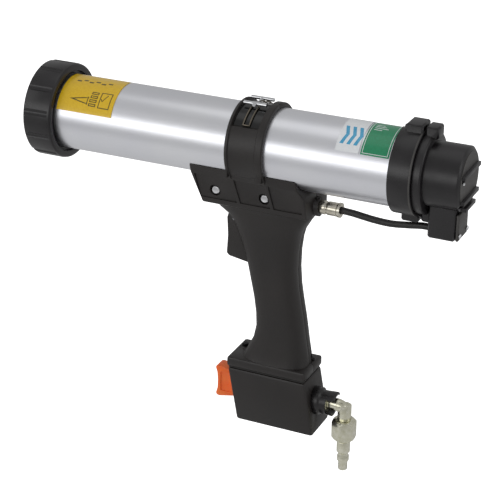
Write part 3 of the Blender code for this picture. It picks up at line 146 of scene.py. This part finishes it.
def tidy(piece, merge=0.002 * MM):
    """Doubles merged and faces turned outwards."""
    edit(piece)
    bpy.ops.mesh.select_all(action="SELECT")
    bpy.ops.mesh.remove_doubles(threshold=merge)
    bpy.ops.mesh.normals_make_consistent(inside=False)
    leave()
    return piece


def apply(piece, kind, **settings):
    """A modifier of that kind, applied."""
    hold(piece)
    step = piece.modifiers.new(kind.lower(), kind)
    for key, value in settings.items():
        setattr(step, key, value)
    bpy.ops.object.modifier_apply(modifier=step.name)
    return piece


def rounded(piece, width, segments=2, angle=32):
    return apply(piece, "BEVEL", width=width, segments=segments, limit_method="ANGLE",
                 angle_limit=radians(angle), use_clamp_overlap=True, harden_normals=False)


def smooth(piece, angle=38):
    hold(piece)
    bpy.ops.object.shade_smooth_by_angle(angle=radians(angle))
    return piece


def cut(piece, *tools):
    for tool in tools:
        apply(piece, "BOOLEAN", operation="DIFFERENCE", object=tool, solver="EXACT")
        bpy.data.objects.remove(tool)
        tidy(piece)
    return piece


def block(name, low, high, width=0.0, segments=2):
    """A box between two corners, with rounded edges."""
    low, high = Vector(low), Vector(high)
    clear_selection()
    bpy.ops.mesh.primitive_cube_add(size=1, location=(low + high) / 2, scale=high - low)
    piece = bpy.context.object
    piece.name = name
    settle(piece)
    if width:
        rounded(piece, width, segments)
    return piece


def rod(name, base, direction, radius, length, sides=SMALL):
    """A cylinder that starts at base and runs along direction."""
    clear_selection()
    bpy.ops.mesh.primitive_cylinder_add(vertices=sides, radius=radius, depth=length)
    piece = bpy.context.object
    piece.name = name
    piece.matrix_world = Matrix.Translation(base) @ AXES[direction] @ Matrix.Translation((0, 0, length / 2))
    return settle(piece)


def turned(name, base, direction, profile, sides=FINE, closed=False):
    """A profile of (radius, height) pairs, drawn by extruding one corner and spun round the axis."""
    clear_selection()
    bpy.ops.mesh.primitive_plane_add(size=MM, location=(0, 0, 0))
    piece = bpy.context.object
    piece.name = name
    bpy.ops.object.mode_set(mode="EDIT")
    bpy.ops.mesh.merge(type="CENTER")
    bpy.ops.transform.translate(value=(profile[0][0], 0, profile[0][1]))
    for (radius, height), (next_radius, next_height) in zip(profile, profile[1:]):
        step = (next_radius - radius, 0, next_height - height)
        bpy.ops.mesh.extrude_region_move(TRANSFORM_OT_translate={"value": step})
    bpy.ops.mesh.select_all(action="SELECT")
    if closed:
        mesh = bmesh.from_edit_mesh(piece.data)
        mesh.verts.ensure_lookup_table()
        ends = [v for v in mesh.verts if len(v.link_edges) == 1]
        mesh.edges.new(ends)
        bmesh.update_edit_mesh(piece.data)
        bpy.ops.mesh.select_all(action="SELECT")
    bpy.ops.mesh.spin(steps=sides, angle=2 * pi, center=(0, 0, 0), axis=(0, 0, 1))
    leave()
    tidy(piece)
    piece.matrix_world = Matrix.Translation(base) @ AXES[direction]
    return smooth(settle(piece))


def from_cad(node, width=0.0, angle=38, flat=1.0):
    """A merged copy of a CAD node with its flat faces whole again and its edges softened."""
    source = frame["nodes"][node]
    piece = bpy.data.objects.new(node + "_finish", source.data.copy())
    bpy.context.scene.collection.objects.link(piece)
    tidy(piece, 0.004 * MM)
    edit(piece)
    bpy.ops.mesh.select_all(action="SELECT")
    bpy.ops.mesh.dissolve_limited(angle_limit=radians(flat))
    leave()
    if width:
        rounded(piece, width, 2, angle)
    smooth(piece, angle)
    return piece


def fit(piece, node, finish):
    """The piece stands for that CAD node, rides on its body and takes a finish."""
    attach(piece, frame["nodes"][node]["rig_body"])
    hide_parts(node)
    return paint(piece, finish)


def paint(piece, finish):
    piece.data.materials.clear()
    piece.data.materials.append(finish)
    return piece


# ---- Finishes -----------------------------------------------------------------------------------
def colour(code):
    """An sRGB hex value as linear RGBA."""
    parts = [int(code[i:i + 2], 16) / 255 for i in (1, 3, 5)]
    return (*[p / 12.92 if p <= 0.04045 else ((p + 0.055) / 1.055) ** 2.4 for p in parts], 1.0)


def add(tree, kind, inputs, **settings):
    """A node with its settings, its values and its links."""
    made = tree.nodes.new(kind)
    for key, value in settings.items():
        setattr(made, key, value)
    for key, value in inputs.items():
        if isinstance(value, bpy.types.NodeSocket):
            tree.links.new(value, made.inputs[key])
        else:
            made.inputs[key].default_value = value
    return made


def start(name, metallic=0.0, ior=1.5, coat=0.0, coat_roughness=0.1):
    """An empty finish: its tree, its shader and the object's own coordinates in millimetres."""
    finish = bpy.data.materials.new(name)
    finish.use_nodes = True
    tree = finish.node_tree
    shader = tree.nodes["Principled BSDF"]
    shader.inputs["Metallic"].default_value = metallic
    shader.inputs["IOR"].default_value = ior
    shader.inputs["Coat Weight"].default_value = coat
    shader.inputs["Coat Roughness"].default_value = coat_roughness
    place = add(tree, "ShaderNodeTexCoord", {})
    mapped = add(tree, "ShaderNodeMapping", {"Vector": place.outputs["Object"],
                                             "Scale": (1 / MM, 1 / MM, 1 / MM)})
    return finish, tree, shader, mapped.outputs["Vector"]


def stretched(tree, where, scale):
    return add(tree, "ShaderNodeMapping", {"Vector": where, "Scale": scale}).outputs["Vector"]


def mottle(tree, where, size_mm, detail=3.0):
    return add(tree, "ShaderNodeTexNoise", {"Vector": where, "Scale": 1 / size_mm, "Detail": detail}
               ).outputs["Fac"]


def ranged(tree, value, low, high, start_at=0.3, end_at=0.7):
    return add(tree, "ShaderNodeMapRange", {"Value": value, "From Min": start_at, "From Max": end_at,
                                            "To Min": low, "To Max": high}).outputs["Result"]


def blended(tree, share, first, second):
    ramp = add(tree, "ShaderNodeMix", {"Factor": share}, data_type="RGBA")
    ramp.inputs[6].default_value = colour(first)
    ramp.inputs[7].default_value = colour(second)
    return ramp.outputs[2]


def bumped(tree, shader, height, strength, depth_mm):
    bump = add(tree, "ShaderNodeBump", {"Height": height, "Strength": strength, "Distance": depth_mm * MM})
    tree.links.new(bump.outputs["Normal"], shader.inputs["Normal"])


def link(tree, output, shader, name):
    tree.links.new(output, shader.inputs[name])


def moulded(name, dark, light, rough, grain_mm, depth_mm, patch_mm=14.0):
    """Moulded thermoplastic: a fine eroded grain, and a slow drift in shade and gloss."""
    finish, tree, shader, where = start(name, ior=1.53)
    patches = mottle(tree, where, patch_mm)
    link(tree, blended(tree, ranged(tree, patches, 0.0, 1.0), dark, light), shader, "Base Color")
    grain = mottle(tree, where, grain_mm, 4.0)
    drift = add(tree, "ShaderNodeMath", {0: ranged(tree, grain, -0.05, 0.05), 1: ranged(
        tree, patches, rough - 0.05, rough + 0.05)}, operation="ADD")
    link(tree, drift.outputs["Value"], shader, "Roughness")
    bumped(tree, shader, grain, 0.35, depth_mm)
    return finish


def metal(name, dark, light, rough, spread, streak=(1, 1, 1), grain_mm=1.2, depth_mm=0.006, patch_mm=9.0):
    """Bare or plated metal: machining or drawing lines along streak, and cloudy gloss."""
    finish, tree, shader, where = start(name, metallic=1.0)
    patches = mottle(tree, where, patch_mm)
    link(tree, blended(tree, ranged(tree, patches, 0.0, 1.0), dark, light), shader, "Base Color")
    lines = mottle(tree, stretched(tree, where, streak), grain_mm, 3.0)
    link(tree, ranged(tree, lines, rough - spread, rough + spread), shader, "Roughness")
    bumped(tree, shader, lines, 0.25, depth_mm)
    return finish


def glass_filled_nylon():
    """Glass-filled nylon, injection moulded: satin black-grey with soft broad highlights."""
    return moulded("glass_filled_nylon", "#151315", "#1c191c", 0.34, 0.9, 0.03)


def eroded_nylon():
    """Nylon moulded in a spark-eroded tool: a dull warm black-grey, even from every side."""
    return moulded("spark_eroded_nylon", "#191514", "#201b19", 0.46, 0.7, 0.05, 30.0)


def polished_nylon():
    """Nylon from a polished tool pocket: darker and glossy, so it mirrors what lies over it."""
    return moulded("polished_nylon", "#080808", "#0d0d0e", 0.14, 2.0, 0.004)


def painted_highlight_nylon():
    """Nylon painted a lighter grey: a painted highlight on edges and faces that catch the light."""
    return moulded("painted_highlight_nylon", "#3b3937", "#4a4846", 0.50, 0.8, 0.05, 6.0)


def nitrile():
    """Extruded nitrile rubber: matt black with a slight bloom."""
    return moulded("extruded_nitrile_rubber", "#141312", "#1e1c1a", 0.45, 0.6, 0.02, 8.0)


def anodised():
    """Drawn aluminium tube, satin anodised: pale, with faint lines along its length."""
    return metal("satin_anodised_aluminium", "#e9eaf0", "#eeeff3", 0.33, 0.02, (0.02, 1, 1), 0.5, 0.001, 40.0)


def zinc():
    """Zinc plate with a pale passivated film: cool grey that turns greenish yellow in patches."""
    return metal("zinc_plated_steel", "#d6d4bc", "#edebdb", 0.24, 0.07, (1, 1, 3), 0.8, 0.01, 3.5)


def bright_chrome():
    """Bright chrome plate: a hard white mirror with hairline scuffs."""
    return metal("bright_chrome_plate", "#dcdde0", "#f0f1f3", 0.10, 0.03, (1, 1, 1), 1.5, 0.002, 5.0)


def bright_nickel():
    """Nickel plate over turned brass: a warm mirror with fine turning rings."""
    return metal("nickel_plated_brass", "#c8c2b2", "#e0dccf", 0.18, 0.05, (6, 0.3, 0.3), 0.8, 0.008, 5.0)


def turned_brass():
    """Machined brass: yellow with a dull satin cut."""
    return metal("machined_brass", "#b08d43", "#c9a85a", 0.32, 0.06, (4, 1, 1), 0.7, 0.006)


def ground_steel():
    """Ground spring steel: mid grey with cross-cut lines."""
    return metal("ground_spring_steel", "#9c9da1", "#b5b6b9", 0.28, 0.06, (1, 6, 1), 0.7, 0.006)


def oiled_wire():
    """Drawn spring wire under an oil film: a dim warm grey line against the black recess."""
    return metal("oiled_spring_wire", "#6c665c", "#837b6e", 0.34, 0.05, (1, 1, 1), 0.6, 0.004)


def black_oxide():
    """Black oxide on steel: near black with an oily sheen."""
    return metal("black_oxide_steel", "#1b1b1c", "#2b2b2c", 0.38, 0.06, (1, 1, 1), 0.8, 0.006)


def orange_abs():
    """ABS, moulded: saturated orange with a soft gloss."""
    return moulded("moulded_orange_abs", "#ff6a22", "#ff7c30", 0.36, 1.2, 0.015, 10.0)


def acetal():
    """Machined acetal: waxy off-white."""
    return moulded("machined_acetal", "#d9d8d2", "#e4e3de", 0.42, 0.8, 0.02)


def film(name, dark, light):
    """Printed polyester film under a clear gloss: an even ink with a faint print mottle."""
    finish, tree, shader, where = start(name, ior=1.5, coat=0.5, coat_roughness=0.12)
    ink = mottle(tree, where, 1.6, 2.0)
    link(tree, blended(tree, ranged(tree, ink, 0.0, 1.0), dark, light), shader, "Base Color")
    link(tree, ranged(tree, ink, 0.30, 0.40), shader, "Roughness")
    bumped(tree, shader, ink, 0.1, 0.01)
    return finish


NYLON = glass_filled_nylon()
GRIP = eroded_nylon()
GLOSS = polished_nylon()
# Lighter grey nylon used as a painted highlight on lit edges and faces.
PAINTED_HIGHLIGHT = painted_highlight_nylon()
RUBBER = nitrile()
ALUMINIUM = anodised()
ZINC = zinc()
CHROME = bright_chrome()
NICKEL = bright_nickel()
BRASS = turned_brass()
STEEL = ground_steel()
OXIDE = black_oxide()
WIRE = oiled_wire()
ORANGE = orange_abs()
ACETAL = acetal()
YELLOW = film("printed_yellow_film", "#e4b80a", "#ecc41a")
WHITE = film("printed_white_film", "#eef2f5", "#f6f8fa")
GREEN = film("printed_green_film", "#0d8658", "#159264")
BROWN = film("brown_print", "#4f4209", "#5e4f0e")
BLUE = film("blue_print", "#3aa0cf", "#55b2da")

SLOT_FINISH = {
    "black_nylon": NYLON, "grip_nylon": GRIP, "black_rubber": RUBBER, "anodised_aluminium": ALUMINIUM,
    "zinc_steel": ZINC, "chrome": CHROME, "nickel": NICKEL, "brass": BRASS, "spring_steel": STEEL,
    "black_steel": OXIDE, "orange_plastic": ORANGE, "white_acetal": ACETAL, "yellow_label": YELLOW,
    "white_label": WHITE, "green_label": GREEN,
}


def finish_cad_nodes():
    """Every CAD node gets the finish of its slot, also where a finer piece stands for it."""
    for entry in frame["record"]["subparts"]:
        node = frame["nodes"][entry["node"]]
        node.data.materials.clear()
        node.data.materials.append(SLOT_FINISH[entry["material_slot"]])


# ---- Barrel and front cap -----------------------------------------------------------------------
def barrel():
    length = barrel_high.x - barrel_low.x
    bore = BARREL_RADIUS - BARREL_WALL
    edge = 0.3 * MM
    profile = [(BARREL_RADIUS - edge, length), (BARREL_RADIUS, length - edge), (BARREL_RADIUS, edge),
               (BARREL_RADIUS - edge, 0), (bore, 0), (bore, length)]
    piece = turned("barrel_finish", (barrel_low.x, 0, AXIS_Z), "+X", profile, 160, closed=True)
    fit(piece, "barrel_tube", ALUMINIUM)


def front_cap():
    """Ring nut with shallow grooves round it, and a lip that stands over the barrel."""
    length = cap_high.x - cap_low.x
    outer = (cap_high.z - cap_low.z) / 2
    thread, mouth, bore = BARREL_RADIUS + 0.3 * MM, BARREL_RADIUS + 2.6 * MM, 22.0 * MM
    lip = 3.0 * MM
    profile = [
        (mouth + 0.5 * MM, length), (outer - 2.0 * MM, length), (outer - 1.1 * MM, length - 0.3 * MM),
        (outer - 0.4 * MM, length - 1.0 * MM), (outer - 0.2 * MM, length - 2.0 * MM),
        (outer, length - 3.2 * MM),
        (outer, 2.2 * MM), (outer - 0.4 * MM, 1.0 * MM), (outer - 1.2 * MM, 0.25 * MM), (outer - 2.2 * MM, 0),
        (bore + 0.8 * MM, 0), (bore, 0.8 * MM), (bore, lip), (thread, lip), (thread, length - 4.4 * MM),
        (mouth, length - 3.9 * MM), (mouth, length - 0.5 * MM),
    ]
    piece = turned("front_cap_finish", (cap_low.x, 0, AXIS_Z), "+X", profile, 192, closed=True)
    reach = outer + GROOVE_LIFT
    for index in range(LOBES):
        angle = 2 * pi * (index + 0.58) / LOBES
        base = (cap_low.x - MM, reach * cos(angle), AXIS_Z + reach * sin(angle))
        cut(piece, rod("lobe_groove", base, "+X", GROOVE_RADIUS, length - 1.2 * MM, 32))
    fit(smooth(piece, 32), "front_cap", NYLON)


# ---- Labels -------------------------------------------------------------------------------------
def wrapped(name, patches, radius, thickness=0.05 * MM):
    """Flat patches (x, width, low and high angle in degrees, lean) wound on the barrel as one print."""
    clear_selection()
    made = []
    for x, width, low, high, lean in patches:
        steps = max(2, round(abs(high - low) / 3))
        bpy.ops.mesh.primitive_grid_add(x_subdivisions=2, y_subdivisions=steps, size=1)
        patch = bpy.context.object
        for vertex in patch.data.vertices:
            across, along = vertex.co.x + 0.5, vertex.co.y + 0.5
            angle = radians(low + (high - low) * along)
            vertex.co = (x + width * across + lean * along,
                         -radius * cos(angle), AXIS_Z + radius * sin(angle))
        made.append(patch)
    clear_selection()
    for patch in made:
        patch.select_set(True)
    bpy.context.view_layer.objects.active = made[0]
    if len(made) > 1:
        bpy.ops.object.join()
    piece = bpy.context.object
    piece.name = name
    settle(piece)
    edit(piece)
    bpy.ops.mesh.select_all(action="SELECT")
    bpy.ops.mesh.normals_make_consistent(inside=False)
    leave()
    outward = piece.data.polygons[0]
    centre = outward.center
    if outward.normal.dot(Vector((0, centre.y, centre.z - AXIS_Z))) < 0:
        edit(piece)
        bpy.ops.mesh.select_all(action="SELECT")
        bpy.ops.mesh.flip_normals()
        leave()
    apply(piece, "SOLIDIFY", thickness=thickness, offset=-1.0)
    return smooth(piece, 40)


def label(node, finish, low, high):
    low_corner, high_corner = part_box(node)
    radius = BARREL_RADIUS + 0.15 * MM + LABEL_FILM
    inset = 0.2 * MM
    piece = wrapped(node + "_film", [(low_corner.x + inset, high_corner.x - low_corner.x - 2 * inset,
                                      low, high, 0.0)], radius, LABEL_FILM)
    fit(piece, node, finish)
    return low_corner.x, high_corner.x, radius + 0.04 * MM


def print_on(name, finish, patches, radius):
    piece = wrapped(name, patches, radius)
    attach(piece, "gun")
    paint(piece, finish)


def frame_of(x, width, low, high, line_x, line_a):
    """Four thin patches round a rectangle."""
    return [(x, line_x, low, high, 0), (x + width - line_x, line_x, low, high, 0),
            (x, width, low, low + line_a, 0), (x, width, high - line_a, high, 0)]


def labels():
    start_x, _, skin = label("label_loading", YELLOW, 21.0, 100.0)
    thin = 0.7 * MM
    turn = 1.4
    nozzle = [(start_x + 9 * MM, 4.2 * MM, 41.0, 46.0, 13 * MM),
              (start_x + 22 * MM, 4.2 * MM, 36.0, 41.0, -13 * MM),
              (start_x + 24 * MM, thin, 34.5, 47.5, 0)]
    stack = []
    for index in range(4):
        stack += frame_of(start_x + 26 * MM, 6.0 * MM, 33 + 6.5 * index, 37.5 + 6.5 * index, thin, turn)
    case = frame_of(start_x + 34 * MM, 9.5 * MM, 32.0, 58.0, thin, turn)
    tick = [(start_x + 36 * MM, 0.8 * MM, 43, 47, -1.2 * MM), (start_x + 36 * MM, 0.8 * MM, 43, 54, 3.6 * MM)]
    marks = [(start_x + (8 + 5.2 * i) * MM, 3.6 * MM, 74 + 3 * (i % 2), 77 + 3 * (i % 2), 0)
             for i in range(6)]
    print_on("loading_print", BROWN, nozzle + stack + case + tick + marks, skin)

    start_x, _, skin = label("label_badge", WHITE, 31.0, 104.0)
    chevrons = [(start_x + (2.2 + 5.2 * i) * MM, 2.6 * MM, 42, 58, 2.6 * MM) for i in range(3)]
    chevrons += [(start_x + (4.8 + 5.2 * i) * MM, 2.6 * MM, 58, 74, -2.6 * MM) for i in range(3)]
    print_on("badge_print", BLUE, chevrons, skin)

    start_x, end_x, skin = label("label_data", GREEN, 31.0, 101.0)
    width = end_x - start_x
    border = frame_of(start_x + 1.2 * MM, width - 2.4 * MM, 33.0, 99.0, 0.4 * MM, 0.8)
    rows = [(start_x + 3.5 * MM, (6.0 + 2.0 * (i % 3)) * MM, 88 - 4.5 * i, 89.2 - 4.5 * i, 0)
            for i in range(4)]
    print_on("data_print", WHITE, border + rows, skin)


# ---- Rear ring and cap --------------------------------------------------------------------------
def rear_ring():
    """Clamping ring with a lighter lip on its rear edge as a painted highlight, and lugs top and bottom."""
    piece = from_cad("rear_ring", 0.35 * MM, 40)
    fit(piece, "rear_ring", NYLON)
    # A lighter grey lip on the ring's rear edge: a painted highlight.
    lip = [(RING_RADIUS + 0.15 * MM, LIP_WIDTH), (RING_RADIUS + 0.15 * MM, 0.2 * MM),
           (RING_RADIUS - 0.2 * MM, 0), (RING_RADIUS - 1.2 * MM, 0), (RING_RADIUS - 1.2 * MM, LIP_WIDTH)]
    start_x = ring_rear - LIP_WIDTH - 0.3 * MM
    rim = turned("rear_ring_highlight_lip", (start_x, 0, AXIS_Z), "+X", lip, 128, closed=True)
    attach(rim, "gun")
    paint(rim, PAINTED_HIGHLIGHT)


def rear_cap():
    piece = from_cad("rear_cap", 0.3 * MM, 42)
    fit(piece, "rear_cap", NYLON)
    # A lighter grey disc on the end face, cut round the bars: a painted highlight of the lit face.
    disc = rod("end_face_highlight_disc", (end_rear - 2.75 * MM, 0, AXIS_Z), "+X", PANEL_RADIUS, 0.5 * MM, 96)
    reach = {6.5: 17.5, -12.5: 16.5, -19.5: 10.5}
    for height, half in reach.items():
        low = (end_rear - 4 * MM, -(half + 0.4) * MM, AXIS_Z + (height - 4.4) * MM)
        high = (end_rear + MM, (half + 0.4) * MM, AXIS_Z + (height + 1.6) * MM)
        cut(disc, block("bar_clearance", low, high))
    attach(smooth(disc), "gun")
    paint(disc, PAINTED_HIGHLIGHT)
    dot = turned("end_face_rivet", (end_rear - 2.3 * MM, -13 * MM, AXIS_Z + MM), "+X",
                 [(0, 1.0 * MM), (0.9 * MM, 0.7 * MM), (1.3 * MM, 0), (0, 0)], 24)
    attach(dot, "gun")
    paint(dot, CHROME)
    # The foot cover takes the lighter grey: a painted highlight for its lit face.
    cover = from_cad("foot_cover", 0.3 * MM)
    fit(cover, "foot_cover", PAINTED_HIGHLIGHT)


# ---- Handle -------------------------------------------------------------------------------------
def handle():
    for side in ("left", "right"):
        piece = from_cad("handle_" + side, 0.25 * MM, 34)
        fit(piece, "handle_" + side, GRIP)
    for side, low, high in (("left", 41.5, 87.5), ("right", 92.5, 138.5)):
        lining = wrapped("clamp_recess_" + side, [(RECESS_FRONT, RECESS_REAR - RECESS_FRONT, low, high, 0)],
                         RECESS_RADIUS, 0.1 * MM)
        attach(lining, "gun")
        paint(lining, GLOSS)
    trigger = from_cad("trigger", 0.2 * MM)
    fit(trigger, "trigger", GRIP)


def fasteners():
    for node in ("shell_screw_front", "shell_screw_rear", "foot_screw_left", "foot_screw_right"):
        fit(from_cad(node, 0.12 * MM, 30), node, CHROME)
    for node in ("clamp_bar_left", "clamp_bar_right", "clamp_screw"):
        fit(from_cad(node, 0.0, 50), node, CHROME)
    for node in ("clamp_wire_left", "clamp_wire_right"):
        fit(from_cad(node, 0.0, 50), node, WIRE)


# ---- Hose ---------------------------------------------------------------------------------------
def hose():
    piece = from_cad("air_hose", 0.0, 60)
    fit(piece, "air_hose", RUBBER)
    for node in ("hose_fitting", "hose_collar"):
        fit(from_cad(node, 0.15 * MM, 40), node, NICKEL)


# ---- Base ---------------------------------------------------------------------------------------
def base():
    fit(from_cad("base_housing", 0.4 * MM, 34), "base_housing", GRIP)
    fit(from_cad("regulator_knob", 0.3 * MM, 40), "regulator_knob", ORANGE)
    fit(from_cad("inlet_socket", 0.2 * MM, 40), "inlet_socket", NYLON)
    for node in ("inlet_elbow", "coupling_nut", "air_plug", "swivel_stem"):
        fit(from_cad(node, 0.2 * MM, 40), node, ZINC)


# ---- Studio -------------------------------------------------------------------------------------
def camera():
    target = Vector((-0.0237, 0.0, 0.0226))
    azimuth, elevation, roll, distance = radians(24.87), radians(24.49), radians(0.485), 1.2565
    back = Vector((sin(azimuth) * cos(elevation), -cos(azimuth) * cos(elevation), sin(elevation)))
    bpy.ops.object.camera_add(location=target + back * distance)
    eye = bpy.context.object
    eye.data.lens = 120.0
    eye.data.sensor_width = 36.0
    eye.rotation_mode = "QUATERNION"
    eye.rotation_quaternion = (-back).to_track_quat("-Z", "Y") @ Matrix.Rotation(roll, 4, "Z").to_quaternion()
    bpy.context.scene.camera = eye


def lamp(name, place, aim, size, power):
    bpy.ops.object.light_add(type="AREA", location=place)
    light = bpy.context.object
    light.name = name
    light.data.shape = "RECTANGLE"
    light.data.size, light.data.size_y = size
    light.data.energy = power
    light.rotation_mode = "QUATERNION"
    light.rotation_quaternion = (Vector(aim) - Vector(place)).to_track_quat("-Z", "Y")


def studio():
    """A pale sheet far below the gun, a dim even surround, a long strip light low on the gun's left that
    draws the bright band along the barrel, and three weak banks over it and at its ends."""
    clear_selection()
    bpy.ops.mesh.primitive_plane_add(size=14, location=(0, 0, cad_box[0].z - FLOOR_DROP))
    floor = bpy.context.object
    floor.name = "studio_floor"
    paper = bpy.data.materials.new("backlit_white_paper")
    paper.use_nodes = True
    tree = paper.node_tree
    shader = tree.nodes["Principled BSDF"]
    shader.inputs["Base Color"].default_value = colour("#f4f4f4")
    shader.inputs["Roughness"].default_value = 0.95
    shader.inputs["Emission Color"].default_value = (1, 1, 1, 1)
    seen = add(tree, "ShaderNodeLightPath", {})
    link(tree, seen.outputs["Is Camera Ray"], shader, "Emission Strength")
    floor.data.materials.append(paper)
    world = bpy.data.worlds.new("studio_surround")
    world.use_nodes = True
    world.node_tree.nodes["Background"].inputs["Color"].default_value = (1, 1, 1, 1)
    world.node_tree.nodes["Background"].inputs["Strength"].default_value = SURROUND
    bpy.context.scene.world = world
    middle = (-0.02, 0, 0.02)
    lamp("strip_key", (-0.60, -1.25, 0.38), (-0.60, 0, AXIS_Z), (1.9, 0.55), 4.8)
    lamp("overhead_bank", (-0.10, 0.10, 1.45), middle, (1.2, 0.9), 1.5)
    lamp("muzzle_bank", (-1.15, -0.60, 0.55), middle, (0.5, 0.9), 1.0)
    lamp("rear_bank", (1.25, 0.15, 0.45), middle, (0.5, 0.8), 1.0)
    bpy.context.scene.view_settings.view_transform = "Standard"


finish_cad_nodes()
barrel()
front_cap()
labels()
rear_ring()
rear_cap()
handle()
fasteners()
hose()
base()
camera()
studio()
